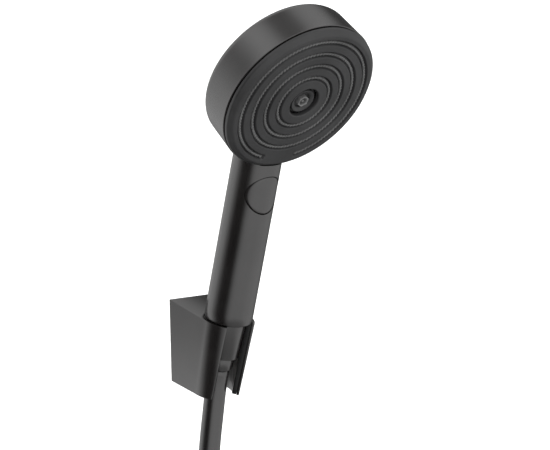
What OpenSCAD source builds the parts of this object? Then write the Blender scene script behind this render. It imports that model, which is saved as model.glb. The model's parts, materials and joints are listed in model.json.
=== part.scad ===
// Handheld shower head with push-button jet selection, resting in its wall
// holder, with its hose.  Millimetres, +Z up, +X right, the wall is at +Y.
// Origin: centre of the holder's wall face.

/* [Spray head] */
// Outer diameter of the head housing
head_d = 105; // [100:0.5:110]
// Depth of the housing's side wall, from the face joint to its back edge
head_depth = 21.7; // [20:0.1:24]
// Height of the domed back behind that edge
dome_h = 9.8; // [8:0.2:11]
// Diameter of the spray face plate
face_d = 103.8; // [98:0.1:104]
// Height of the face plate's surface at the centre, above the joint plane
face_rise = 7.28; // [6.5:0.02:8]
// Radius of the innermost nozzle groove
ring_first_r = 18.2; // [16:0.1:20]
// Radial spacing of the nozzle grooves
ring_pitch = 8.6; // [8:0.1:8.8]
// Number of nozzle grooves
ring_n = 4; // [3:1:4]

/* [Handle] */
// Handle diameter
handle_d = 30.8; // [29:0.2:32]
// Wall thickness of handle and housing
wall = 2.4; // [2:0.1:2.8]
// Length from the level of the face centre to the handle's lower end
handle_len = 158.8; // [150:0.2:165]
// Lean of the handle away from the wall, degrees
lean = 17.7; // [10:0.1:25]
// Angle between the handle axis and the direction the face looks, degrees
face_angle = 71.8; // [65:0.1:80]
// Distance of the face centre in front of the handle axis
face_offset = 26.7; // [25:0.1:28]

/* [Button] */
// Button diameter
button_d = 24.8; // [22:0.1:25.2]
// Height of the button's centre below the level of the face centre
button_pos = 69.5; // [68:0.1:74]
// Button travel
button_travel = 3; // [2:0.1:3.2]

/* [Holder] */
// Width of the holder at the wall
holder_w = 36; // [34:0.5:40]
// Height of the holder at the wall
holder_h = 53; // [50:0.5:58]
// Slope of the holder's top and bottom faces, degrees
holder_slope = 15.4; // [12:0.1:18]
// Distance between the two wall screw holes
screw_spacing = 28; // [24:0.5:32]
// Wall screw hole diameter
screw_hole_d = 4.6; // [4:0.1:5]

/* [Hose] */
// Outer diameter of the hose
hose_d = 14; // [13:0.5:14]
// Radius at which the coil's outer turn starts
coil_r = 85; // [84:0.5:86]
// Radial distance between turns
coil_pitch = 14.5; // [14:0.1:15]

/* [Hidden] */
$fn = 64;
e = 0.01;

head_r = head_d / 2;
face_r = face_d / 2;
handle_r = handle_d / 2;
bore_r = handle_r - wall;
// point on the handle axis level with the face centre
pivot = [0, -86, 168];
black = [0.16, 0.155, 0.155];
dark = [0.10, 0.10, 0.105];

// frame of the hand shower: Z up the handle, -Y to its front
module hand() translate(pivot) rotate([lean, 0, 0]) children();
// frame of the spray head: Z out of the face, +Y towards its top
module head() hand() translate([0, -face_offset, 0]) rotate([180 - face_angle, 0, 0]) children();
// frame of the button: Z out of the handle's front
module button_frame() hand() translate([0, 0, -button_pos]) rotate([90, 0, 0]) children();

module tube(r, ri, h) difference() {
    cylinder(r = r, h = h);
    translate([0, 0, -1]) cylinder(r = ri, h = h + 2);
}
module oring(r, w) rotate_extrude() translate([r, 0]) circle(r = w, $fn = 32);

// ---------------------------------------------------------------- holder
seat_top = -159.1;      // arms' upper end along the handle axis
seat_bot = -210.2;
arm_t = 1.8;
function arm_r(z) = 17.2 + (z - seat_top) * 0.0325;   // outer radius of the arms
slot_w = 22;            // gap between the arms

// space between the holder's two sloping faces
module holder_band() translate([0, 0, 0]) rotate([holder_slope, 0, 0])
    translate([-60, -120, -holder_h / 2 * cos(holder_slope)])
        cube([120, 160, holder_h * cos(holder_slope)]);
module holder_outer() intersection() {
    hull() {
        hand() translate([0, 0, -225]) cylinder(r1 = arm_r(-225), r2 = arm_r(-148), h = 77, $fn = 64);
        translate([-holder_w / 2, -0.5, -50]) cube([holder_w, 0.5, 100]);
    }
    holder_band();
    translate([-60, -120, -60]) cube([120, 120, 120]);
}
module seat_cone(gap) hand() translate([0, 0, -228])
    cylinder(r1 = arm_r(-228) - arm_t - gap, r2 = arm_r(-148) - arm_t - gap, h = 80);
module front_slot(w) hand() translate([-w / 2, -40, -240]) cube([w, 40, 120]);
plate_w = 28;
plate_h = 42;
plate_t = 3;

module holder_body() color(black) difference() {
    holder_outer();
    seat_cone(0);
    front_slot(slot_w);
    // pocket for the wall plate, and the room for its screw heads
    translate([-plate_w / 2 - 0.2, -plate_t - 0.3, -plate_h / 2 - 0.2]) cube([plate_w + 0.4, plate_t + 1.3, plate_h + 0.4]);
    intersection() {
        translate([-plate_w / 2 + 2, -22, -plate_h / 2 + 2]) cube([plate_w - 4, 22, plate_h - 4]);
        hand() translate([-30, 17.6, -260]) cube([60, 60, 200]);
    }
    translate([0, -2.3, -40]) cylinder(r = 1.5, h = 30);
}
// black liner with the conical seat; open at the front for the hose
nut_top_r = 12.0;
nut_bot_r = 10.6;
module holder_insert() color(dark) intersection() {
    difference() {
        seat_cone(0.1);
        hand() {
            translate([0, 0, -184.2]) cylinder(r1 = nut_bot_r + 0.3, r2 = nut_bot_r + 0.3 + 50 * 0.0558, h = 50);
            translate([0, 0, -240]) cylinder(r = nut_bot_r + 0.3, h = 60);
        }
        front_slot(19.4);
    }
    translate([0, 0, 0]) rotate([holder_slope, 0, 0])
        translate([-60, -120, -holder_h / 2 * cos(holder_slope) + 0.4])
            cube([120, 160, holder_h * cos(holder_slope) - 0.9]);
    translate([-60, -120, -60]) cube([120, 119, 120]);
}
module wall_plate() color("silver") difference() {
    translate([-plate_w / 2, -plate_t, -plate_h / 2]) cube([plate_w, plate_t, plate_h]);
    for (s = [-1, 1]) translate([0, 0, s * screw_spacing / 2]) rotate([90, 0, 0])
        translate([0, 0, -1]) cylinder(d = screw_hole_d, h = plate_t + 2);
}
module grub_screw() color("silver") translate([0, -2.3, -plate_h / 2 - 5.4]) difference() {
    cylinder(r = 1.45, h = 5.3);
    translate([0, 0, -1]) cylinder(r = 0.75, h = 3, $fn = 6);
}

// ------------------------------------------------- hose, holder end
nut_bot = -184.2;
ferrule_bot = -193;
module hose_nipple() color("goldenrod") hand() difference() {
    union() {
        translate([0, 0, -176.2]) cylinder(r = 9.9, h = 2.3);
        translate([0, 0, nut_bot - 0.1]) cylinder(r = 7.6, h = 10);
        translate([0, 0, ferrule_bot + 0.1]) cylinder(r = 5, h = 12);
    }
    translate([0, 0, -200]) cylinder(r = 3.6, h = 40);
}
module hose_washer() color(dark) hand() translate([0, 0, -173.8]) tube(9.4, 6, 1.5);
module hose_ferrule() color(black) hand() translate([0, 0, ferrule_bot]) difference() {
    union() {
        cylinder(r = 8.2, h = nut_bot - 0.3 - ferrule_bot - 0.6);
        translate([0, 0, nut_bot - 0.3 - ferrule_bot - 0.6]) cylinder(r1 = 8.2, r2 = 7.6, h = 0.6);
    }
    translate([0, 0, -1]) cylinder(r = 5.05, h = 20);
}

// ------------------------------------------------------------ hose route
coil_c = [0, -12.5, -268];
tail_y = -32;
// down from the ferrule, settling to the vertical beside the wall
route_a = [[0, -27.3, -15.9], [0, -24, -26.3], [0, -21.7, -36.1], [0, -19.5, -47],
           [0, -17.1, -58.8], [0, -14.8, -71.7], [0, -13.3, -84], [0, -12.6, -96]];
// sway to the coil's left side: two arcs of radius 100
sway_r = 100;
sway = acos(1 - coil_r / (2 * sway_r));
sway_top = coil_c[2] + 2 * sway_r * sin(sway);
route_b = concat(
    [for (i = [0:4]) let (t = sway * i / 5) [-sway_r * (1 - cos(t)), coil_c[1], sway_top - sway_r * sin(t)]],
    [for (i = [0:5]) let (t = sway * (5 - i) / 5) [-coil_r + sway_r * (1 - cos(t)), coil_c[1], coil_c[2] + sway_r * sin(t)]]);
// the spiral coil: two turns inwards, the end rising to lie on the coil
function turn_r(a) = coil_r - coil_pitch * a / 360;
function ease(t) = t <= 0 ? 0 : t >= 1 ? 1 : t * t * (3 - 2 * t);
function turn_pt(a) = [turn_r(a) * cos(180 + a),
                       coil_c[1] + (tail_y - coil_c[1]) * ease((a - 610) / 110),
                       coil_c[2] + turn_r(a) * sin(180 + a)];
tail_r = turn_r(720);
route_tail = concat([for (a = [650:14:706]) turn_pt(a)],
                    [[-tail_r, tail_y, coil_c[2]], [-tail_r, tail_y, coil_c[2] - 10], [-tail_r, tail_y, coil_c[2] - 20]]);

function unit(v) = v / norm(v);
function tangent(p, i) = unit(p[min(i + 1, len(p) - 1)] - p[max(i - 1, 0)]);
function side(t) = unit([-t[2], 0, t[0]]);
// ring of n points of radius r about each route point, square to the route
function rings(p, r, n, t0, t1) = [for (i = [0:len(p) - 1])
    let (t = i == 0 ? t0 : i == len(p) - 1 ? t1 : tangent(p, i), u = side(t), v = cross(t, u))
    for (k = [0:n - 1]) p[i] + r * (cos(360 * k / n) * u + sin(360 * k / n) * v)];
module sweep(p, r, n, t0, t1) polyhedron(points = rings(p, r, n, t0, t1),
    faces = concat([[for (k = [0:n - 1]) k]],
        [for (i = [0:len(p) - 2], k = [0:n - 1])
            [i * n + k, (i + 1) * n + k, (i + 1) * n + (k + 1) % n, i * n + (k + 1) % n]],
        [[for (k = [0:n - 1]) (len(p) - 1) * n + (n - 1 - k)]]), convexity = 6);

module hose_tube() color(black)
    sweep(concat(route_a, route_b), hose_d / 2, 12, [0, sin(lean), -cos(lean)], [0, 0, -1]);
module hose_tail() color(black)
    sweep(route_tail, hose_d / 2, 12, tangent(route_tail, 0), [0, 0, -1]);

coil_ri = tail_r;                      // centre of the inmost turn
module coil_ring(g) translate(coil_c) rotate([90, 0, 0]) rotate_extrude($fn = 96) {
    translate([coil_ri, -hose_d / 2 - g]) square([coil_r - coil_ri, hose_d + 2 * g]);
    translate([coil_ri, 0]) circle(r = hose_d / 2 + g, $fn = 48);
    translate([coil_r, 0]) circle(r = hose_d / 2 + g, $fn = 48);
}
module hose_coil() color(black) coil_ring(0);
module coil_tie() color(dark) intersection() {
    difference() {
        coil_ring(1.6);
        coil_ring(0.1);
    }
    translate([-6, -60, coil_c[2] + 20]) cube([12, 80, 100]);
}

// ------------------------------------------------- hose, far end
end_top = coil_c[2] - 20;              // where the end ferrule starts
module at_end(z) translate([-tail_r, tail_y, end_top + z]) children();
module end_ferrule() color(black) at_end(-22) difference() {
    cylinder(r = 8.6, h = 22);
    translate([0, 0, -1]) cylinder(r = 5.05, h = 22);
}
module end_nipple() color("goldenrod") at_end(0) difference() {
    union() {
        translate([0, 0, -24]) cylinder(r = 5, h = 22.9);
        translate([0, 0, -27.5]) cylinder(r = 7.6, h = 5.4);
        translate([0, 0, -29.7]) cylinder(r = 9.2, h = 2.3);
    }
    translate([0, 0, -40]) cylinder(r = 3.6, h = 38);
}
module end_washer() color(dark) at_end(-31.3) tube(9.1, 6, 1.5);
module end_nut() color(black) at_end(-39.5) difference() {
    union() {
        cylinder(r = 13.4, h = 16.8, $fn = 6);
    }
    translate([0, 0, -1]) cylinder(r = 9.5, h = 9.5);
    translate([0, 0, 8]) cylinder(r = 9.8, h = 4.4);
    translate([0, 0, 5]) cylinder(r = 7.65, h = 20);
    // rounded ends of the hexagon
    difference() {
        translate([0, 0, -1]) cylinder(r = 20, h = 30);
        translate([0, 0, -2]) cylinder(r = 12, h = 40);
    }
}

// ------------------------------------------------------------ hand shower
function dome_z(r) = -head_depth - dome_h + 5.4 * pow(r / (head_r - 4.9), 2);
module head_solid() head() rotate_extrude($fn = 128) polygon(concat(
    [[0, -0.3], [head_r, -0.3], [head_r - 1.04, -head_depth]],
    [for (t = [12:12:78]) [head_r - 5.94 + 4.9 * cos(t), -head_depth + 0.0 - 4.9 * sin(t) ]],
    [for (r = [42:-6:6]) [r, dome_z(r)]], [[0, dome_z(6)]]));
module head_hollow() head() rotate_extrude($fn = 128) polygon([[0, 1], [49.7, 1],
    [49.7, -head_depth + 2.2], [46, -head_depth - 1.6], [30, dome_z(30) + 2.6], [8, dome_z(8) + 2.6], [0, dome_z(8) + 2.6]]);

module body_shell() color(black) difference() {
    union() {
        head_solid();
        hand() translate([0, 0, -handle_len]) cylinder(r = handle_r, h = handle_len - 52);
        hull() {
            hand() translate([0, 0, -58]) cylinder(r = handle_r - 0.08, h = 5.2, $fn = 48);
            head() translate([0, 6, dome_z(6) + 0.9]) cylinder(r = 11, h = 4, $fn = 32);
        }
    }
    difference() {
        head_hollow();
        head() translate([0, 0, -40]) cylinder(r = 5, h = 33);
    }
    // recess that the face plate sits in
    head() translate([0, 0, -0.3]) cylinder(r = face_r + 0.3, h = 30);
    // bore of the handle, and the narrower way up to the head
    hand() translate([0, 0, -handle_len - 1]) cylinder(r = bore_r, h = handle_len - 55);
    hand() translate([0, -2, -60]) cylinder(r = 7, h = 38);
    // pilot hole for the centre screw
    head() translate([0, 0, -20]) cylinder(r = 2.05, h = 20);
    // button opening
    button_frame() translate([0, 0, 1]) cylinder(d = button_d + 0.6, h = 20);
}

module inlet_connector() color("goldenrod") hand() difference() {
    union() {
        translate([0, 0, -172]) cylinder(r = 10.35, h = 14);
        translate([0, 0, -handle_len]) cylinder(r = bore_r - 0.05, h = 13);
    }
    translate([0, 0, -180]) cylinder(r = 6.4, h = 40);
    translate([0, 0, -150]) cylinder(r = 7.05, h = 10);
    translate([0, 0, -153.4]) difference() {
        cylinder(r = 15, h = 2.4);
        translate([0, 0, -1]) cylinder(r = 10.8, h = 5);
    }
}
module inlet_oring() color(dark) hand() translate([0, 0, -152.2]) oring(11.85, 1.05);
module inlet_filter() color("silver") hand() translate([0, 0, -171]) difference() {
    cylinder(r = 6.35, h = 1.2);
    for (a = [0:60:300]) rotate(a) translate([3.6, 0, -1]) cylinder(r = 1.1, h = 4, $fn = 24);
    translate([0, 0, -1]) cylinder(r = 1.1, h = 4, $fn = 24);
}
module cone_nut() color(black) hand() difference() {
    translate([0, 0, nut_bot]) cylinder(r1 = nut_bot_r, r2 = nut_top_r, h = -nut_bot - handle_len);
    translate([0, 0, -176.5]) cylinder(r = 10.4, h = 20);
    translate([0, 0, -190]) cylinder(r = 7.65, h = 20);
}
module water_tube() color("gray") hand() translate([0, 0, -149.9]) tube(7, 5.5, 63.4);

module valve_housing() color("gray") hand() difference() {
    intersection() {
        translate([0, 0, -button_pos - 20.5]) cylinder(r = bore_r - 0.15, h = 34);
        translate([-20, -4, -100]) cube([40, 40, 60]);
    }
    // stem guide, seal groove and rotor chamber, square to the handle
    translate([0, 0, -button_pos]) rotate([-90, 0, 0]) {
        translate([0, 0, -10]) cylinder(r = 3.05, h = 20);
        translate([0, 0, -3]) cylinder(r = 4.9, h = 1.9);
        translate([0, 0, 0.9]) cylinder(r = 8.3, h = 20);
    }
    // water in from below, out to the head
    translate([0, 0, -button_pos - 21]) cylinder(r = 7.05, h = 4.6);
    translate([0, 3.5, -button_pos - 20]) cylinder(r = 2.4, h = 14);
    translate([0, -0.6, -button_pos + 12.6]) cylinder(r = 4.95, h = 10);
    translate([0, -0.6, -button_pos + 10.5]) cylinder(r = 3.7, h = 10);
    translate([0, 3, -button_pos + 6]) cylinder(r = 1.6, h = 8);
}
module valve_cover() color("gray") hand() translate([0, 6.3, -button_pos]) rotate([-90, 0, 0]) tube(8.25, 4.55, 2.6);
module stem_oring() color(dark) button_frame() translate([0, 0, 2.05]) oring(4.0, 0.85);
// compression spring round the stem
spring_r = 5.3;
spring_wire = 0.45;
function helix(n, r, z0, z1, turns) = [for (i = [0:n]) [r * cos(360 * turns * i / n), r * sin(360 * turns * i / n), z0 + (z1 - z0) * i / n]];
function hrings(p, r, n) = [for (i = [0:len(p) - 1])
    let (t = tangent(p, i), u = unit([p[i][0], p[i][1], 0]), v = cross(t, u))
    for (k = [0:n - 1]) p[i] + r * (cos(360 * k / n) * u + sin(360 * k / n) * v)];
module coil_wire(p, r, n) polyhedron(points = hrings(p, r, n),
    faces = concat([[for (k = [0:n - 1]) k]],
        [for (i = [0:len(p) - 2], k = [0:n - 1])
            [i * n + k, (i + 1) * n + k, (i + 1) * n + (k + 1) % n, i * n + (k + 1) % n]],
        [[for (k = [0:n - 1]) (len(p) - 1) * n + (n - 1 - k)]]), convexity = 8);
module button_spring() color("silver") button_frame()
    coil_wire(helix(48, spring_r, 4.7, 12.0, 4), spring_wire, 6);
module upper_duct() color("gray") hand() translate([0, -0.6, -button_pos + 12.7]) tube(4.9, 3.7, 40.8);

// back plate of the spray former, with the tower that the duct enters
module manifold() color("gray") difference() {
    union() {
        head() translate([0, 0, -6.5]) cylinder(r = 49.3, h = 3.4);
        head() translate([0, -24, -23.5]) cylinder(r = 9.5, h = 18);
    }
    head() translate([0, -24, -21.5]) cylinder(r = 7.5, h = 20);
    hand() translate([0, -0.6, -62]) cylinder(r = 5, h = 46);
    head() translate([0, 0, -40]) cylinder(r = 5.2, h = 33.2);
    head() translate([0, 0, -20]) cylinder(r = 2.1, h = 20);
    head() translate([0, 0, -6]) difference() {
        cylinder(r = 55, h = 2.3);
        translate([0, 0, -1]) cylinder(r = 47.5, h = 5);
    }
}
module face_seal() color(dark) head() translate([0, 0, -4.85]) oring(48.6, 1.05);
module jet_plate() color("gray") head() difference() {
    translate([0, 0, -2.9]) cylinder(r = 46.6, h = 4.9);
    translate([0, 0, -10]) cylinder(r = 2.1, h = 20);
    for (i = [0:ring_n - 1]) let (r = ring_first_r + i * ring_pitch) {
        translate([0, 0, 0.6]) tube(r + 2, r - 2, 3);
        for (a = [0:45:315]) rotate(a + 11 * i) translate([r, 0, -5]) cylinder(r = 1, h = 10, $fn = 24);
    }
}
function face_z(r) = face_rise - 0.04 * r;
groove_w = 1.9;
groove_d = 1.5;
module face_plate() color(dark) head() rotate_extrude($fn = 128) polygon(concat(
    [[49.4, -2.9], [49.4, 0.3], [face_r, 0.3], [face_r, 2.9], [face_r - 0.5, 3.9], [face_r - 1.6, 4.9], [face_r - 2.6, face_z(face_r - 2.6)]],
    [for (i = [ring_n - 1:-1:0], q = [0:3]) let (r = ring_first_r + i * ring_pitch)
        [r + [groove_w, 0.9, -0.9, -groove_w][q], face_z(r) - [0, groove_d, groove_d, 0][q]]],
    [[11, face_z(11)], [10.3, face_z(11) - 0.5], [10.1, 3.6], [46.8, 2.2], [46.8, -2.9]]));
module nozzle_rings() color([0.2, 0.2, 0.2]) head() for (i = [0:ring_n - 1])
    let (r = ring_first_r + i * ring_pitch) rotate_extrude($fn = 96)
        polygon([[r - 0.75, face_z(r) - groove_d + e], [r + 0.75, face_z(r) - groove_d + e], [r + 0.5, face_z(r) - 0.55], [r - 0.5, face_z(r) - 0.55]]);
module centre_nozzle() color(dark) head() difference() {
    union() {
        rotate_extrude() polygon([[0, 2.6], [9.6, 2.6], [9.6, 4.3], [8.9, 4.9], [8.2, 4.6], [3.8, 4.0], [0, 4.0]]);
        translate([0, 0, 3.5]) cylinder(r = 3.6, h = 2.3, $fn = 6);
    }
    translate([0, 0, 3.6]) cylinder(r = 2.0, h = 10);
    translate([0, 0, 0]) cylinder(r = 4.4, h = 3.1);
}
module centre_screw() color("silver") head() difference() {
    union() {
        translate([0, 0, -16]) cylinder(r = 2, h = 18.5);
        translate([0, 0, 2.05]) cylinder(r = 4, h = 0.9);
    }
    translate([0, 0, 2.3]) cylinder(r = 1.3, h = 2, $fn = 6);
}

module select_button() color(black) union() {
    difference() {
        intersection() {
            button_frame() translate([0, 0, 7.6]) cylinder(d = button_d, h = 12);
            hand() translate([0, 0, -100]) cylinder(r = handle_r - 0.05, h = 60);
        }
        button_frame() translate([0, 0, 5]) cylinder(r = 10.8, h = 7.7);
    }
    button_frame() translate([0, 0, -0.6]) cylinder(r = 3, h = 14.1);
    button_frame() translate([0, 0, -3.4]) cylinder(r = 2.4, h = 4);
}
module valve_rotor() color("white") hand() translate([0, 1.2, -button_pos]) rotate([-90, 0, 0]) difference() {
    union() {
        cylinder(r = 8, h = 4.8);
        cylinder(r = 4.5, h = 7.6);
    }
    translate([0, 0, -1]) cylinder(r = 2.7, h = 7.8);
    translate([0, 0, -1]) cylinder(r = 3.2, h = 3.9);
    for (a = [0:120:240]) rotate(a + 90) translate([6.2, 0, -1]) cylinder(r = 1.2, h = 8, $fn = 24);
}

holder_body();
holder_insert();
wall_plate();
grub_screw();
hose_nipple();
hose_washer();
hose_ferrule();
hose_tube();
hose_coil();
hose_tail();
coil_tie();
end_ferrule();
end_nipple();
end_washer();
end_nut();
body_shell();
inlet_connector();
inlet_oring();
inlet_filter();
cone_nut();
water_tube();
valve_housing();
valve_cover();
stem_oring();
button_spring();
upper_duct();
manifold();
face_seal();
jet_plate();
face_plate();
nozzle_rings();
centre_nozzle();
centre_screw();
select_button();
valve_rotor();
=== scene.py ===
import bpy, bmesh, json, math
import numpy as np
from mathutils import Matrix, Vector

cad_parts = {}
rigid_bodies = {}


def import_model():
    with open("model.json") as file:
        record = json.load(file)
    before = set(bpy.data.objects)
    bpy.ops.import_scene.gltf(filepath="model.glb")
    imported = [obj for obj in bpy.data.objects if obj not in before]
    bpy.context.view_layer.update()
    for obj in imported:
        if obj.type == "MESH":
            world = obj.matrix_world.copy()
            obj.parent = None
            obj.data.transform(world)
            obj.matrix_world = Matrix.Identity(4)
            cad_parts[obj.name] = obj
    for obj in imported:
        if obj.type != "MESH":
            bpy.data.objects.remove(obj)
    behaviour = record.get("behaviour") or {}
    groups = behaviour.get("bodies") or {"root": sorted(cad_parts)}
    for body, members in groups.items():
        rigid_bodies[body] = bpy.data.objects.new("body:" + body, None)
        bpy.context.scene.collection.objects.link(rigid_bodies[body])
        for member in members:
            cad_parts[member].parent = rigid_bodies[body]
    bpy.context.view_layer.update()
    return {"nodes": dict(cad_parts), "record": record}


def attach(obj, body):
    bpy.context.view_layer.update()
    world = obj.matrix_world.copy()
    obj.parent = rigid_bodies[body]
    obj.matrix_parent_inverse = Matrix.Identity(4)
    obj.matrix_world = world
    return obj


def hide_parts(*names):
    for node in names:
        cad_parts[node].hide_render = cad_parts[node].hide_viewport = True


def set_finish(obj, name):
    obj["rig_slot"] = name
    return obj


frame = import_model()
scene = bpy.context.scene
MM = 0.001
LEAN, FACE_ANGLE, FACE_OFF = math.radians(17.7), math.radians(71.8), 26.7
PIVOT = np.array([0.0, -86.0, 168.0])
ca, sa = math.cos(LEAN), math.sin(LEAN)
HAND = np.array([[1, 0, 0], [0, ca, -sa], [0, sa, ca]])
th = math.pi - FACE_ANGLE
HEADL = np.array([[1, 0, 0], [0, math.cos(th), -math.sin(th)], [0, math.sin(th), math.cos(th)]])


def hand(p):
    return np.asarray(p, float) @ HAND.T + PIVOT


def head(p):
    q = np.asarray(p, float) @ HEADL.T
    q[..., 1] -= FACE_OFF
    return hand(q)


def row(p):
    return np.asarray(p, float)


# ---------------------------------------------------------------- camera
az, el, roll = math.radians(-38.97368), math.radians(6.75911), math.radians(-1.1658)
fwd = -np.array([math.sin(az) * math.cos(el), -math.cos(az) * math.cos(el), math.sin(el)])
right = np.cross(fwd, [0, 0, 1.0]); right /= np.linalg.norm(right)
down = np.cross(fwd, right)
rr = np.array([[math.cos(roll), -math.sin(roll)], [math.sin(roll), math.cos(roll)]])
cx, cy = rr[0, 0] * right + rr[0, 1] * down, rr[1, 0] * right + rr[1, 1] * down
cam = bpy.data.objects.new("camera", bpy.data.cameras.new("camera"))
scene.collection.objects.link(cam)
cam.matrix_world = Matrix([[cx[i], -cy[i], -fwd[i], (-0.94158, -1.25039, 0.25705)[i]] for i in range(3)] + [[0, 0, 0, 1]])
cam.data.sensor_fit, cam.data.sensor_width, cam.data.lens = "HORIZONTAL", 36.0, 2455.41 / 550 * 36
cam.data.clip_end = 100
scene.camera = cam


# ---------------------------------------------------------------- mesh helpers
def obj_from(name, verts, faces, place=row, sharp=30):
    me = bpy.data.meshes.new(name)
    me.from_pydata((place(np.asarray(verts, float)) * MM).tolist(), [], [list(f) for f in faces])
    me.validate()
    bm = bmesh.new(); bm.from_mesh(me)
    bmesh.ops.remove_doubles(bm, verts=bm.verts, dist=1e-6)
    bmesh.ops.recalc_face_normals(bm, faces=bm.faces)
    bm.to_mesh(me); bm.free()
    o = bpy.data.objects.new(name, me)
    scene.collection.objects.link(o)
    shade(o, sharp)
    return o


def shade(o, sharp=30):
    o.data.shade_smooth()
    o.data.set_sharp_from_angle(angle=math.radians(sharp))


def lathe(name, prof, n, place, closed=False, sharp=30, mod=None):
    """prof is (radius, height) pairs; closed joins its ends, and otherwise each end is on the axis or is capped."""
    prof = np.asarray(prof, float)
    t = 2 * np.pi * np.arange(n) / n
    v = np.stack([prof[:, 0, None] * np.cos(t), prof[:, 0, None] * np.sin(t), np.repeat(prof[:, 1, None], n, 1)], -1)
    if mod is not None:
        v = mod(v, t)
    k = len(prof)
    f = []
    for i in range(k if closed else k - 1):
        j = (i + 1) % k
        for a in range(n):
            b = (a + 1) % n
            f.append((i * n + a, i * n + b, j * n + b, j * n + a))
    if not closed:
        if prof[0, 0] > 1e-6:
            f.append(tuple(range(n)))
        if prof[-1, 0] > 1e-6:
            f.append(tuple((k - 1) * n + a for a in reversed(range(n))))
    f2 = []
    for q in f:
        ri = {idx // n for idx in q}
        if len(q) == 4 and any(prof[i, 0] < 1e-6 for i in ri):
            z = [i for i in ri if prof[i, 0] < 1e-6][0]
            f2.append(tuple([x for x in q if x // n != z] + [z * n]))
        else:
            f2.append(q)
    return obj_from(name, v.reshape(-1, 3), f2, place, sharp)


def boolean(o, cutters, op="DIFFERENCE"):
    for c in cutters:
        m = o.modifiers.new("b", "BOOLEAN")
        m.operation, m.object, m.solver = op, c, "EXACT"
        dg = bpy.context.evaluated_depsgraph_get()
        me = bpy.data.meshes.new_from_object(o.evaluated_get(dg))
        o.modifiers.clear()
        o.data = me
        bpy.data.objects.remove(c)
    return o


def clean(o):
    bm = bmesh.new(); bm.from_mesh(o.data)
    bmesh.ops.remove_doubles(bm, verts=bm.verts, dist=8e-6)
    bmesh.ops.dissolve_degenerate(bm, edges=bm.edges, dist=8e-6)
    bm.to_mesh(o.data); bm.free()


def apply_mods(o):
    dg = bpy.context.evaluated_depsgraph_get()
    me = bpy.data.meshes.new_from_object(o.evaluated_get(dg))
    o.modifiers.clear()
    o.data = me


def bevel(o, width, angle=35, seg=3):
    m = o.modifiers.new("bevel", "BEVEL")
    m.width, m.segments, m.limit_method, m.angle_limit = width * MM, seg, "ANGLE", math.radians(angle)
    m.harden_normals = False
    apply_mods(o)
    shade(o, 35)


def arc(cx_, cz, r, a0, a1, n):
    return [(cx_ + r * math.cos(math.radians(a)), cz + r * math.sin(math.radians(a))) for a in np.linspace(a0, a1, n)]


def loft(name, sections, place, sharp=30):
    """sections: k closed rings of n points; both ends capped."""
    s = np.asarray(sections, float)
    k, n = s.shape[:2]
    f = [(i * n + a, i * n + (a + 1) % n, (i + 1) * n + (a + 1) % n, (i + 1) * n + a) for i in range(k - 1) for a in range(n)]
    f += [tuple(range(n)), tuple((k - 1) * n + a for a in reversed(range(n)))]
    return obj_from(name, s.reshape(-1, 3), f, place, sharp)


def cyl(r, z0, z1, n, place, x=0.0, y=0.0, r2=None):
    r2 = r if r2 is None else r2
    t = 2 * np.pi * np.arange(n) / n
    return loft("cut", [np.stack([x + q * np.cos(t), y + q * np.sin(t), np.full(n, z)], -1) for q, z in ((r, z0), (r2, z1))], place)


def box(lo, hi, place=row):
    x0, y0, z0 = lo; x1, y1, z1 = hi
    return loft("cut", [[(x0, y0, z), (x1, y0, z), (x1, y1, z), (x0, y1, z)] for z in (z0, z1)], place)


# ---------------------------------------------------------------- hose, a tube swept along a smoothed route
COIL, COIL_R, PITCH, TAIL_Y, SWAY_R = np.array([0, -12.5, -268.0]), 85.0, 14.5, -32.0, 100.0
sway = math.acos(1 - COIL_R / (2 * SWAY_R))
sway_top = COIL[2] + 2 * SWAY_R * math.sin(sway)
route = [[0, -27.3, -15.9], [0, -24, -26.3], [0, -21.7, -36.1], [0, -19.5, -47], [0, -17.1, -58.8], [0, -14.8, -71.7], [0, -13.3, -84], [0, -12.6, -96]]
for i in range(0, 9):
    t = sway * i / 9
    route.append([-SWAY_R * (1 - math.cos(t)), COIL[1], sway_top - SWAY_R * math.sin(t)])
for i in range(0, 10):
    t = sway * (9 - i) / 9
    route.append([-COIL_R + SWAY_R * (1 - math.cos(t)), COIL[1], COIL[2] + SWAY_R * math.sin(t)])


def ease(t):
    t = min(max(t, 0), 1)
    return t * t * (3 - 2 * t)


for a in range(8, 721, 8):
    r = COIL_R - PITCH * a / 360
    route.append([r * math.cos(math.radians(180 + a)), COIL[1] + (TAIL_Y - COIL[1]) * ease((a - 610) / 110), COIL[2] + r * math.sin(math.radians(180 + a))])
for d in (7, 14, 20):
    route.append([-(COIL_R - 2 * PITCH), TAIL_Y, COIL[2] - d])
route = np.array(route)


def smooth_line(p, per=4):
    """Catmull-Rom through the route's points."""
    q = np.vstack([2 * p[0] - p[1], p, 2 * p[-1] - p[-2]])
    out = []
    for i in range(1, len(q) - 2):
        for t in np.arange(per) / per:
            a, b, c, d = q[i - 1], q[i], q[i + 1], q[i + 2]
            out.append(0.5 * (2 * b + (c - a) * t + (2 * a - 5 * b + 4 * c - d) * t * t + (3 * b - a - 3 * c + d) * t ** 3))
    out.append(q[-2])
    return np.array(out)


line = smooth_line(route, 3)
cu = bpy.data.curves.new("hose", "CURVE")
cu.dimensions, cu.bevel_depth, cu.bevel_resolution, cu.use_fill_caps = "3D", 0.0069, 9, True
sp = cu.splines.new("POLY"); sp.points.add(len(line) - 1)
for p, q in zip(sp.points, line):
    p.co = (*(q * MM), 1)
sp.use_smooth = True
curve = bpy.data.objects.new("hose_curve", cu)
scene.collection.objects.link(curve)
hose = bpy.data.objects.new("hose", bpy.data.meshes.new_from_object(curve.evaluated_get(bpy.context.evaluated_depsgraph_get())))
scene.collection.objects.link(hose)
bpy.data.objects.remove(curve)
hose.data.name = "hose"
clean(hose)

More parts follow.
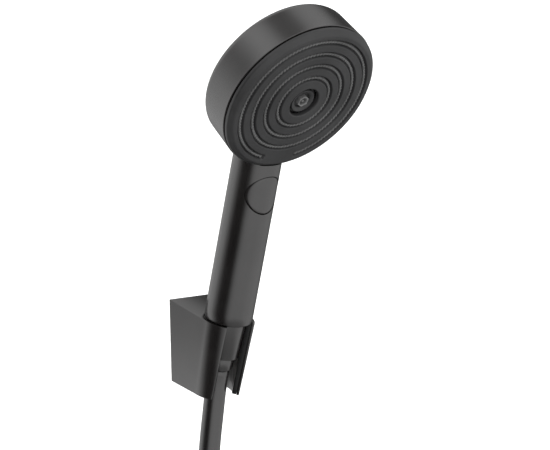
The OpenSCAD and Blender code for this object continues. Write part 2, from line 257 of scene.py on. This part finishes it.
# ---------------------------------------------------------------- spray head and handle
R_HEAD, DEPTH, DOME = 52.5, 21.7, 9.8


def dome_z(r):
    return -DEPTH - DOME + 5.4 * (r / (R_HEAD - 4.9)) ** 2


prof = [(0, -0.3), (51.9, -0.3), (52.32, -0.42), (52.5, -0.75)]
prof += [(52.5 - 1.04 * (z / DEPTH), -z) for z in np.linspace(2, DEPTH, 9)]
prof += [(R_HEAD - 5.94 + 4.9 * math.cos(math.radians(t)), -DEPTH - 4.9 * math.sin(math.radians(t))) for t in range(8, 79, 7)]
prof += [(r, dome_z(r)) for r in np.linspace(44, 0, 16)]
shell = lathe("body_shell_skin", prof, 256, head)

# handle and neck as one loft up the handle; its back runs out into the dome
secs = []
n = 160
tt = 2 * np.pi * np.arange(n) / n


def hermite(t, a, ma, b, mb):
    return (2 * t ** 3 - 3 * t * t + 1) * a + (t ** 3 - 2 * t * t + t) * ma + (-2 * t ** 3 + 3 * t * t) * b + (t ** 3 - t * t) * mb


zs = [-158.8, -158.7, -158.4, -157.9] + list(np.arange(-152, -61, 6)) + list(np.linspace(-60, 8, 44))
for z in zs:
    rr_ = 15.4 - {-158.8: 0.9, -158.7: 0.5, -158.4: 0.2, -157.9: 0.03}.get(z, 0)
    if z <= -50:
        xs, ys = rr_ * np.cos(tt), rr_ * np.sin(tt)
    else:
        t = min(1.0, (z + 50) / 42)
        back = hermite(t, 15.4, 0, 6.6, -0.36 * 42) if t < 1 else 6.6 - 0.5 * (z + 8)
        wide = 15.4 - 3.0 * t * t * (3 - 2 * t)
        front = -15.4 if z < -44 else -15.4 + 9 * min(1, (z + 44) / 30)
        front = min(front, back - 4)
        xs = wide * np.cos(tt)
        mid = min(0.0, back - 6)
        ys = np.where(np.sin(tt) > 0, mid + (back - mid) * np.abs(np.sin(tt)) ** (1 - 0.55 * t), mid + (mid - front) * np.sin(tt))
    secs.append(np.stack([xs, ys, np.full(n, z)], -1))
stalk = loft("stalk", secs, hand)
boolean(shell, [stalk], "UNION")
cav = lathe("cav", [(0, 2), (49.7, 2), (49.7, -DEPTH + 2.2), (46, -DEPTH - 1.6), (30, dome_z(30) + 2.6), (8, dome_z(8) + 2.6), (0, dome_z(8) + 2.6)], 128, head)
recess = lathe("recess", [(0, -0.35), (52.2, -0.35), (52.2, 2.7), (51.7, 3.5), (50.9, 4.4), (50.3, 5.2), (50.1, 30), (0, 30)], 256, head)
bore = cyl(13.0, -170, -56, 96, hand)
tn = 96
t3 = 2 * np.pi * np.arange(tn) / tn
well = loft("well", [np.stack([12.7 * np.cos(t3), np.full(tn, y), -69.5 + 12.7 * np.sin(t3)], -1) for y in (-25, -1)], hand)
boolean(shell, [recess, cav, bore, well])
clean(shell)
shade(shell, 28)
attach(shell, "hand_shower"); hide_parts("body_shell"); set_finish(shell, "satin_black")

# push button, curved as the handle is
rings = []
nb = 96
t4 = 2 * np.pi * np.arange(nb) / nb
RB = 15.36
for rho, sink in [(0.001, 0), (2, 0), (4, 0), (6, 0), (8, 0), (10, 0), (11.2, 0), (11.6, 0.03), (11.9, 0.12), (12.12, 0.28), (12.24, 0.5), (12.28, 0.8)]:
    x, zz = rho * np.cos(t4), rho * np.sin(t4)
    rings.append(np.stack([x, -np.sqrt(RB ** 2 - x ** 2) + sink, -69.5 + zz], -1))
for rho, y in [(12.28, -7.7), (10.8, -7.7), (10.8, -8.6), (3.0, -8.6), (3.0, 0.6), (2.4, 0.6), (2.4, 3.3)]:
    x, zz = rho * np.cos(t4), rho * np.sin(t4)
    ys = np.full(nb, float(y))
    if (rho, y) == (10.8, -7.7) or (rho, y) == (12.28, -7.7):
        ys = np.maximum(ys, -np.sqrt(RB ** 2 - x ** 2) + 1.2)
    rings.append(np.stack([x, ys, -69.5 + zz], -1))
button = loft("select_button_cap", rings, hand, 40)
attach(button, "select_button"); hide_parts("select_button"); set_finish(button, "satin_black")

# ---------------------------------------------------------------- spray face
RINGS = [18.2, 26.8, 35.4, 44.0]


def face_z(r):
    return 7.28 - 0.04 * r


def groove(r, k):
    d = abs(r - RINGS[k])
    return 1.0 if d < 1.15 else max(0.0, 0.5 + 0.5 * math.cos(math.pi * min(1.0, (d - 1.15) / 1.1)))


radii = sorted(set([round(x, 2) for x in np.arange(10.9, 48.6, 0.25)]), reverse=True)
fp = [(46.8, -2.9), (49.4, -2.9), (49.4, 0.2), (51.5, 0.25), (51.85, 0.45), (51.95, 0.8), (51.95, 2.2), (51.85, 2.6), (51.6, 2.95), (51.2, 3.3), (50.4, 4.0), (49.9, 4.5), (49.5, 4.85), (49.1, 5.1)]
n_edge = len(fp)
fp += [(r, face_z(r)) for r in radii]
fp += [(10.6, face_z(11) - 0.08), (10.3, face_z(11) - 0.35), (10.15, face_z(11) - 0.8), (10.1, 3.6), (46.8, 2.2)]
NSEG = 360


def cut_grooves(v, t):
    # the foot of the face is at -Y of the head frame: the outer groove stops there
    ang = np.degrees(np.arctan2(v[0, :, 1], v[0, :, 0]))
    off = np.abs((ang + 90 + 180) % 360 - 180 + 0.0)
    for i, r in enumerate(radii):
        for k in range(4):
            g = groove(r, k)
            if g <= 0:
                continue
            w = np.ones(len(t))
            if k == 3:
                w = np.clip((off - GAP_HALF) / 1.6, 0, 1)
                w = w * w * (3 - 2 * w)
            v[n_edge + i, :, 2] -= 1.7 * g * w
    return v


GAP_HALF = 15.0
face = lathe("spray_face", fp, NSEG, head, closed=True, sharp=40, mod=cut_grooves)
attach(face, "hand_shower"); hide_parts("face_plate"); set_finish(face, "face_black")

# silicone nozzles: a low bead in each groove with small raised outlets
nv, nf = [], []


def add(verts, faces):
    b = len(nv)
    nv.extend(verts)
    nf.extend([tuple(b + i for i in f) for f in faces])


for k, R in enumerate(RINGS):
    floor = face_z(R) - 1.7
    count = int(round(2 * math.pi * R / 2.35))
    for i in range(count):
        a = 2 * math.pi * (i + 0.5 * (k % 2)) / count
        if k == 3 and abs((math.degrees(a) + 90 + 180) % 360 - 180) < GAP_HALF + 2.4:
            continue
        cxx, cyy = R * math.cos(a), R * math.sin(a)
        m, vs = 10, []
        levels = [(0.8, -0.1), (0.79, 0.7), (0.7, 1.15), (0.5, 1.35), (0.34, 1.37), (0.22, 1.0)]
        for rad, h in levels:
            vs += [(cxx + rad * math.cos(2 * math.pi * j / m), cyy + rad * math.sin(2 * math.pi * j / m), floor + h) for j in range(m)]
        fs = [(q * m + j, q * m + (j + 1) % m, (q + 1) * m + (j + 1) % m, (q + 1) * m + j) for q in range(len(levels) - 1) for j in range(m)]
        fs += [tuple(range(m)), tuple((len(levels) - 1) * m + j for j in reversed(range(m)))]
        add(vs, fs)
for k, R in enumerate(RINGS):
    floor, m = face_z(R) - 1.7, 240
    lim = GAP_HALF + 2.0
    angs = np.linspace(0, 2 * np.pi, m, endpoint=False) if k < 3 else np.radians(np.linspace(-90 + lim, 270 - lim, m))
    sec = [(-0.72, -0.1), (-0.66, 0.6), (-0.5, 0.8), (0.5, 0.8), (0.66, 0.6), (0.72, -0.1)]
    vs = [((R + u) * math.cos(a), (R + u) * math.sin(a), floor + h) for a in angs for u, h in sec]
    fs = [(i * 6 + q, i * 6 + (q + 1) % 6, ((i + 1) % m) * 6 + (q + 1) % 6, ((i + 1) % m) * 6 + q) for i in range(m if k < 3 else m - 1) for q in range(6)]
    if k == 3:
        fs += [tuple(range(6)), tuple((m - 1) * 6 + q for q in reversed(range(6)))]
    add(vs, fs)
nozzles = obj_from("nozzles", nv, nf, head, 50)
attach(nozzles, "hand_shower"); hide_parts("nozzle_rings"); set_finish(nozzles, "silicone")

# centre jet: dished insert with a six-sided outlet
cj = [(0, 2.62), (9.6, 2.62), (9.62, 2.9), (8.4, 2.95), (8.15, 4.8), (7.9, 5.15), (7.5, 5.2), (5.6, 4.5), (5.2, 4.2), (4.9, 3.0), (0, 2.95)]
centre = lathe("centre_jet", cj, 128, head, sharp=40)
hexo = [(3.75, 2.9), (3.7, 5.3), (3.55, 5.65), (3.2, 5.75), (2.75, 5.7), (2.5, 5.45), (2.4, 4.9), (2.35, 3.4), (0.95, 3.3), (0.9, 4.8), (0.7, 5.1), (0, 5.15)]


def hexed(v, t):
    w = 1 / np.cos(((t + np.pi / 6) % (np.pi / 3)) - np.pi / 6)
    for i in range(4):
        v[i, :, :2] *= (0.94 + 0.9 * (w - 1))[:, None]
    return v


hexp = lathe("hexp", hexo, 96, head, sharp=40, mod=hexed)
hexp.name = "centre_outlet"
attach(hexp, "hand_shower"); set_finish(hexp, "silicone")
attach(centre, "hand_shower"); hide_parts("centre_nozzle"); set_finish(centre, "face_black")

# ---------------------------------------------------------------- cone nut, ferrule
nut = lathe("cone_nut_skin", [(7.66, -184.1), (10.3, -184.15), (10.5, -184.0), (10.62, -183.6), (11.95, -160.0), (12.0, -159.0), (10.45, -158.9), (10.45, -176.5), (7.66, -176.5)], 128, hand, closed=True)
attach(nut, "hand_shower"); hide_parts("cone_nut"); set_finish(nut, "satin_black")
fer = lathe("hose_ferrule_skin", [(5.1, -192.9), (7.6, -192.95), (8.0, -192.8), (8.2, -192.4), (8.2, -185.2), (8.1, -184.8), (7.7, -184.6), (5.1, -184.6)], 96, hand, closed=True)
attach(fer, "hose"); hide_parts("hose_ferrule"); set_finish(fer, "satin_black")

# ---------------------------------------------------------------- holder
SLOPE, HH = math.radians(15.4), 53.0
nrm = np.array([0, -math.sin(SLOPE), math.cos(SLOPE)])      # normal of the holder's sloping ends


def arm_r(z):
    return 17.2 + (z + 159.1) * 0.0325


def cut_at(fn, h):
    """Where the ruled edge fn(z) of the holder (x, y at height z up the handle axis) meets the sloping plane at height h."""
    lo, hi = -240.0, -130.0
    for _ in range(34):
        m = (lo + hi) / 2
        x, y = fn(m)
        if hand([x, y, m]) @ nrm < h:
            lo = m
        else:
            hi = m
    return np.array(hand([*fn(lo), lo]))


def wall_y(z):
    return (86.0 + z * sa) / ca      # the wall plane in the handle's frame


def outline(z, inset):
    """One C-shaped section of the holder, with rounded arm ends; inset pulls every free edge in."""
    R = arm_r(z)
    a0 = math.asin(11.0 / R) + inset / R
    tip = [(0.3 * (1 - math.sin(q)), 1.5 + 0.3 * math.cos(q)) for q in np.linspace(0, math.pi / 2, 4)]
    tip += [(0.6 * (1 - math.cos(q)), 0.6 * (1 - math.sin(q))) for q in np.linspace(0, math.pi / 2, 7)]
    half = []
    for u, v in tip:
        v = inset + v * (1.8 - 2 * inset) / 1.8
        half.append(((R - v) * math.sin(a0 + u / R), -(R - v) * math.cos(a0 + u / R)))
    for t in np.linspace(a0 + 0.6 / R, math.radians(92), 40)[1:]:
        half.append(((R - inset) * math.sin(t), -(R - inset) * math.cos(t)))
    yw, xe, ye = wall_y(z) - 0.02, half[-1][0], half[-1][1]
    for k in np.linspace(0.08, 1, 12):
        half.append((xe + (18.0 - inset - xe) * k, ye + (yw - ye) * k))
    ri, ai = R - 1.8 + inset, a0 + 0.3 / R
    inner = [(ri * math.sin(t), -ri * math.cos(t)) for t in np.linspace(-ai, -2 * math.pi + ai, 96)[1:-1]]
    return half + [(-x, y) for x, y in reversed(half)] + inner


def c_loft(name, loops, levels, sharp=35):
    """Lofts a C-shaped outline between sloping planes; levels are (height, inset) and loops(z, inset) gives the outline."""
    rings_ = []
    for h, inset in levels:
        rings_.append([cut_at(lambda z, i=i: loops(z, inset)[i], h) for i in range(len(loops(-180, inset)))])
    return loft(name, rings_, row, sharp)


h_half = HH / 2 * math.cos(SLOPE)


holder = c_loft("holder_skin", outline, [(-h_half, 0.4), (-h_half + 0.12, 0.12), (-h_half + 0.4, 0), (h_half - 0.4, 0), (h_half - 0.12, 0.12), (h_half, 0.4)])
boolean(holder, [box((-14.2, -3.3, -21.2), (14.2, 5, 21.2))])
shade(holder, 35)
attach(holder, "holder"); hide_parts("holder_body"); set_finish(holder, "satin_black")


def liner_loop(z, inset):
    ro = arm_r(z) - 1.92
    ri = 10.9 + max(0.0, (z + 184.2)) * 0.0558
    g = 9.7
    a0 = a1 = math.degrees(math.asin(11.0 / (ro + 1.92)))
    return [(ro * math.sin(math.radians(a)), -ro * math.cos(math.radians(a))) for a in np.linspace(a0, 360 - a0, 120)] + \
           [(ri * math.sin(math.radians(a)), -ri * math.cos(math.radians(a))) for a in np.linspace(360 - a1, a1, 120)]


liner = c_loft("holder_liner_skin", liner_loop, [(h, 0) for h in np.linspace(-h_half + 0.4, h_half - 0.5, 9)])
bevel(liner, 0.3, 50, 2)
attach(liner, "holder"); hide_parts("holder_insert"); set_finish(liner, "liner_black")

# ---------------------------------------------------------------- coil strap, hose end
RI, RO = COIL_R - PITCH * 630 / 360, COIL_R - PITCH * 270 / 360   # the two turns at the top of the coil
ends = [(RO, 0.0, 7.5), (RI, -0.84, 8.4)]
strap_line = []
for k, (rc, dc, q) in enumerate(ends):
    for a in np.linspace(-90, 90, 25) + 180 * k:
        strap_line.append((rc + q * math.cos(math.radians(a)), dc + q * math.sin(math.radians(a)), math.cos(math.radians(a)), math.sin(math.radians(a))))


ns, sv, sf = len(strap_line), [], []
cross = [(-5.6, -0.45), (-5.9, 0), (-5.6, 0.45), (5.6, 0.45), (5.9, 0), (5.6, -0.45)]
for i in range(ns):
    r_, d_, nr, nd = strap_line[i]
    for w, h in cross:
        rr2, dd2 = r_ + nr * h, d_ + nd * h
        sv.append((w, COIL[1] + dd2, COIL[2] + rr2))
for i in range(ns):
    j = (i + 1) % ns
    for q in range(6):
        sf.append((i * 6 + q, i * 6 + (q + 1) % 6, j * 6 + (q + 1) % 6, j * 6 + q))
strap = obj_from("coil_strap", sv, sf, row, 50)
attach(strap, "hose"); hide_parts("coil_tie"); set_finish(strap, "tie")
TX = -(COIL_R - 2 * PITCH)
ET = COIL[2] - 20


def at_end(p):
    return np.asarray(p, float) + np.array([TX, TAIL_Y, ET])


ef = [(5.1, -21.9), (8.2, -21.95), (8.5, -21.7), (8.6, -21.2)]
for z in (-18, -15.5, -13):
    ef += [(8.6, z), (8.35, z + 0.4), (8.35, z + 1.0), (8.6, z + 1.4)]
ef += [(8.6, -1.0), (8.5, -0.5), (8.1, -0.1), (5.1, -0.05)]
endf = lathe("end_ferrule_skin", ef, 96, at_end, closed=True)
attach(endf, "hose"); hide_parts("end_ferrule"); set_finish(endf, "satin_black")

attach(hose, "hose"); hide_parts("hose_tube", "hose_coil", "hose_tail"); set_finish(hose, "hose_black")


# ---------------------------------------------------------------- materials
def material(name, base, rough, ior=1.5, metallic=0.0, grain=900.0, bump=0.02, vary=0.25, rvary=0.05, coat=0.0, tint=None, stretch=None):
    m = bpy.data.materials.new(name)
    m.use_nodes = True
    nt = m.node_tree
    b = nt.nodes["Principled BSDF"]
    b.inputs["Metallic"].default_value = metallic
    b.inputs["IOR"].default_value = ior
    b.inputs["Coat Weight"].default_value = coat
    b.inputs["Coat Roughness"].default_value = 0.25
    tc = nt.nodes.new("ShaderNodeTexCoord")
    src = tc.outputs["Object"]
    if stretch:
        mp = nt.nodes.new("ShaderNodeMapping"); mp.inputs["Scale"].default_value = stretch
        nt.links.new(src, mp.inputs["Vector"]); src = mp.outputs["Vector"]
    big = nt.nodes.new("ShaderNodeTexNoise"); big.inputs["Scale"].default_value = 35; big.inputs["Detail"].default_value = 3
    fine = nt.nodes.new("ShaderNodeTexNoise"); fine.inputs["Scale"].default_value = grain; fine.inputs["Detail"].default_value = 2
    nt.links.new(tc.outputs["Object"], big.inputs["Vector"]); nt.links.new(src, fine.inputs["Vector"])
    ramp = nt.nodes.new("ShaderNodeValToRGB")
    c2 = tint or base
    ramp.color_ramp.elements[0].position, ramp.color_ramp.elements[1].position = 0.3, 0.7
    ramp.color_ramp.elements[0].color = (*[x * (1 - vary) for x in base], 1)
    ramp.color_ramp.elements[1].color = (*[x * (1 + vary) for x in c2], 1)
    nt.links.new(big.outputs["Fac"], ramp.inputs["Fac"]); nt.links.new(ramp.outputs["Color"], b.inputs["Base Color"])
    mr = nt.nodes.new("ShaderNodeMapRange")
    mr.inputs["To Min"].default_value, mr.inputs["To Max"].default_value = rough - rvary, rough + rvary
    nt.links.new(fine.outputs["Fac"], mr.inputs["Value"]); nt.links.new(mr.outputs["Result"], b.inputs["Roughness"])
    bp = nt.nodes.new("ShaderNodeBump"); bp.inputs["Strength"].default_value = bump; bp.inputs["Distance"].default_value = 0.0002
    nt.links.new(fine.outputs["Fac"], bp.inputs["Height"]); nt.links.new(bp.outputs["Normal"], b.inputs["Normal"])
    return m


M = {
    "satin_black": material("satin_black", (0.0072, 0.0063, 0.0062), 0.23, 1.52, bump=0.04, tint=(0.0076, 0.0068, 0.0066)),
    "face_black": material("face_black", (0.015, 0.015, 0.0155), 0.5, 1.36, bump=0.06, grain=700),
    "liner_black": material("liner_black", (0.004, 0.004, 0.004), 0.5, 1.3, bump=0.08, grain=600),
    "hose_black": material("hose_black", (0.0075, 0.0066, 0.0065), 0.25, 1.52, bump=0.03),
    "silicone": material("silicone", (0.075, 0.075, 0.075), 0.48, 1.45, bump=0.05),
    "seal": material("seal", (0.012, 0.012, 0.012), 0.6, 1.45),
    "tie": material("tie", (0.014, 0.014, 0.015), 0.75, 1.45, bump=0.5, grain=2500),
    "steel": material("steel", (0.55, 0.55, 0.56), 0.3, 1.5, metallic=1.0, bump=0.1, stretch=(1, 1, 30)),
    "brass": material("brass", (0.68, 0.5, 0.24), 0.28, 1.5, metallic=1.0, bump=0.05),
    "inner_grey": material("inner_grey", (0.25, 0.25, 0.26), 0.45, 1.46, bump=0.05),
    "rotor_white": material("rotor_white", (0.7, 0.7, 0.68), 0.4, 1.46, bump=0.03),
}
slot_of = {s["node"]: s["material_slot"] for s in frame["record"]["subparts"]}


def paint(o, m):
    o.data.materials.clear()
    o.data.materials.append(m)
    if o.type == "MESH":
        for p in o.data.polygons:
            p.material_index = 0


for o in [x for x in scene.objects if "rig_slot" in x]:
    paint(o, M[o["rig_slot"]])
for nme, o in frame["nodes"].items():
    if len(o.material_slots) == 0:
        o.data.materials.append(M[slot_of[nme]])
    for s in o.material_slots:
        s.material = M[slot_of[nme]]

# the liner's seat gets a smoother material than its ends, and a lighter colour that is painted light: light falling
# into the slot, painted onto the seat
seat_painted_light_m = material("liner_seat_painted_light", (0.11, 0.108, 0.106), 0.35, 1.5, bump=0.04, grain=500)
liner.data.materials.append(seat_painted_light_m)
ax = HAND[:, 2]
for p in liner.data.polygons:
    c = np.array(p.center) / MM - PIVOT
    r = c - ax * (c @ ax)
    r /= np.linalg.norm(r)
    if np.array(p.normal) @ r < -0.9:
        p.material_index = 1

# ---------------------------------------------------------------- stage and light
fm = bpy.data.materials.new("pale_floor"); fm.use_nodes = True
fb = fm.node_tree.nodes["Principled BSDF"]
fb.inputs["Base Color"].default_value = (0.9, 0.9, 0.9, 1); fb.inputs["Roughness"].default_value = 0.9
fb.inputs["Emission Color"].default_value = (1, 1, 1, 1); fb.inputs["Emission Strength"].default_value = 0.2
me = bpy.data.meshes.new("floor")
me.from_pydata([(-40, -40, -0.37), (40, -40, -0.37), (40, 40, -0.37), (-40, 40, -0.37)], [], [(0, 1, 2, 3)])
floor = bpy.data.objects.new("floor", me); scene.collection.objects.link(floor); me.materials.append(fm)
floor.visible_glossy = False

world = bpy.data.worlds.new("studio"); scene.world = world; world.use_nodes = True
nt = world.node_tree
bg = nt.nodes["Background"]
tc = nt.nodes.new("ShaderNodeTexCoord")


def dot(vec):
    d = nt.nodes.new("ShaderNodeVectorMath"); d.operation = "DOT_PRODUCT"
    d.inputs[1].default_value = vec
    nt.links.new(tc.outputs["Generated"], d.inputs[0])
    return d.outputs["Value"]


to_cam = np.array([math.sin(az), -math.cos(az), 0]); to_right = np.array([math.cos(az), math.sin(az), 0])
at = nt.nodes.new("ShaderNodeMath"); at.operation = "ARCTAN2"
nt.links.new(dot(tuple(to_right)), at.inputs[0]); nt.links.new(dot(tuple(to_cam)), at.inputs[1])
mr = nt.nodes.new("ShaderNodeMapRange")
mr.inputs["From Min"].default_value, mr.inputs["From Max"].default_value = -math.pi, math.pi
nt.links.new(at.outputs[0], mr.inputs["Value"])
ramp = nt.nodes.new("ShaderNodeValToRGB")
stops = [(-180, .06), (-165, .2), (-150, .42), (-124, .74), (-102, .98), (-92, .72), (-80, .38), (-69, .04), (-34, .0), (-27, .2), (-18, .65), (-7, 1.0), (5, 1.12), (37, 1.2), (83, .98), (120, .62), (138, .34), (152, .16), (160, .04), (180, .06)]
els = ramp.color_ramp.elements
while len(els) > 1:
    els.remove(els[-1])
for i, (a, v) in enumerate(stops):
    e_ = els[0] if i == 0 else els.new((a + 180) / 360)
    e_.position = (a + 180) / 360
    e_.color = (v, v, v, 1)
nt.links.new(mr.outputs["Result"], ramp.inputs["Fac"])
# soft overhead panel and pale ground bounce above and below the ring of light
def math_node(op, x, y=None):
    m = nt.nodes.new("ShaderNodeMath"); m.operation = op
    for i, v in enumerate((x, y)):
        if v is None:
            continue
        if isinstance(v, (int, float)):
            m.inputs[i].default_value = v
        else:
            nt.links.new(v, m.inputs[i])
    return m.outputs[0]


def fade(z, lo_, hi_):
    r = nt.nodes.new("ShaderNodeMapRange")
    r.interpolation_type = "SMOOTHSTEP"
    r.inputs["From Min"].default_value, r.inputs["From Max"].default_value = lo_, hi_
    nt.links.new(z, r.inputs["Value"])
    return r.outputs["Result"]


up = dot((0, 0, 1))
bw = nt.nodes.new("ShaderNodeRGBToBW"); nt.links.new(ramp.outputs["Color"], bw.inputs["Color"])
t_up = fade(up, 0.42, 0.9)
ring_part = math_node("MULTIPLY", bw.outputs[0], math_node("SUBTRACT", 1.0, t_up))
t_zen = fade(up, 0.93, 0.99)
t_left = fade(dot((-1, 0, 0)), 0.1, 0.6)
panel = math_node("MULTIPLY", t_up, math_node("ADD", math_node("SUBTRACT", 0.8, math_node("MULTIPLY", t_zen, 0.5)), math_node("MULTIPLY", t_left, 0.72)))
t_low = fade(math_node("MULTIPLY", up, -1.0), 0.60, 0.80)
total = math_node("MULTIPLY", math_node("ADD", ring_part, panel), math_node("SUBTRACT", 1.0, math_node("MULTIPLY", t_low, 0.62)))
nt.links.new(total, bg.inputs["Color"])
bg.inputs["Strength"].default_value = 2.0
white = nt.nodes.new("ShaderNodeBackground"); white.inputs["Color"].default_value = (1, 1, 1, 1); white.inputs["Strength"].default_value = 1.0
lp = nt.nodes.new("ShaderNodeLightPath"); mx = nt.nodes.new("ShaderNodeMixShader")
nt.links.new(lp.outputs["Is Camera Ray"], mx.inputs[0]); nt.links.new(bg.outputs[0], mx.inputs[1]); nt.links.new(white.outputs[0], mx.inputs[2])
nt.links.new(mx.outputs[0], nt.nodes["World Output"].inputs["Surface"])
scene.view_settings.view_transform = "Standard"

bpy.context.view_layer.update()
